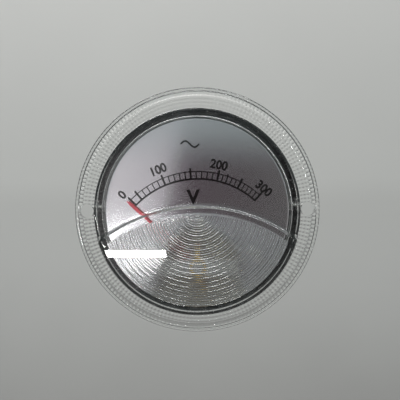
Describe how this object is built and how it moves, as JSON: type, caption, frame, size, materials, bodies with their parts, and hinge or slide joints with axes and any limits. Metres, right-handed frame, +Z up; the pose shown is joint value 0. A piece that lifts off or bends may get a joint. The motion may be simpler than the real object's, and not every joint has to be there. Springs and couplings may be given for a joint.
{
  "type": "panel voltmeter",
  "caption": "Round flush panel voltmeter with a clear flanged cover, ribbed lower half, arc-scale dial, red pointer, moving-iron movement and rear terminal studs.",
  "frame": {"origin": "middle of the flange's back face, half way between the two panel screw holes", "axes": "the dial faces -Y, +Z is up on the dial, and +Y points into the panel towards the terminals"},
  "size_m": [0.08, 0.054, 0.08],
  "materials": {
    "clear_plastic": "clear, glossy moulded polystyrene",
    "black_phenolic": "black moulded phenolic, half gloss",
    "zinc_steel": "zinc-plated, satin",
    "spring_steel": "dark spring steel",
    "dial_aluminium": "satin rolled aluminium",
    "brass": "turned and stamped brass",
    "spring_bronze": "rolled phosphor bronze strip",
    "black_sleeve": "matt sleeve",
    "bobbin_plastic": "moulded natural nylon",
    "enamelled_copper": "layer-wound enamelled copper wire",
    "amber_tape": "polyester insulating tape",
    "soft_iron": "annealed soft iron strip",
    "ruby_jewel": "polished synthetic ruby",
    "tinned_metal": "tinned brass",
    "resistor_body": "lacquered resistor body",
    "lead_sleeve": "sleeved hook-up wire",
    "polished_steel": "hardened and polished steel",
    "red_paint": "signal red paint on aluminium"
  },
  "bodies": {
    "base": {"front_cover": "clear_plastic", "housing": "black_phenolic", "cover_screws": "zinc_steel", "dial_screws": "zinc_steel", "movement_screws": "zinc_steel", "bridge_screws": "zinc_steel", "stud_washers": "zinc_steel", "terminal_washers": "zinc_steel", "movement_plate": "zinc_steel", "spring_washers": "spring_steel", "dial_plate": "dial_aluminium", "damping_lid": "dial_aluminium", "dial_pillars": "brass", "front_bridge": "brass", "front_bearing_screw": "brass", "front_lock_nut": "brass", "rear_bridge": "brass", "rear_bearing_screw": "brass", "rear_lock_nut": "brass", "terminal_stud_left": "brass", "terminal_stud_right": "brass", "stud_nuts": "brass", "terminal_nuts": "brass", "pointer_stops": "black_sleeve", "coil_bobbin": "bobbin_plastic", "damping_chamber": "bobbin_plastic", "coil_winding": "enamelled_copper", "coil_tape": "amber_tape", "fixed_iron": "soft_iron", "front_jewel": "ruby_jewel", "rear_jewel": "ruby_jewel", "solder_tags": "tinned_metal", "series_resistor": "resistor_body", "coil_leads": "lead_sleeve"},
    "zero_arm": {"zero_arm": "brass"},
    "movement": {"spindle": "polished_steel", "pointer": "red_paint", "pointer_hub": "brass", "balance_arms": "brass", "balance_weights": "brass", "moving_iron": "soft_iron", "damping_vane": "dial_aluminium", "spring_collet": "brass", "hairspring": "spring_bronze"}
  },
  "joints": [
    {"name": "zero_adjust", "type": "hinge", "parent": "base", "child": "zero_arm", "pos_m": [0, 0, -0.0177], "axis": [0, 1, 0], "range_deg": [-5, 5]},
    {"name": "pointer_swing", "type": "hinge", "parent": "zero_arm", "child": "movement", "pos_m": [0, 0, -0.0177], "axis": [0, 1, 0], "range_deg": [-2, 92], "stiffness_Nm_per_rad": 0.00006, "deforming": ["hairspring"]}
  ]
}
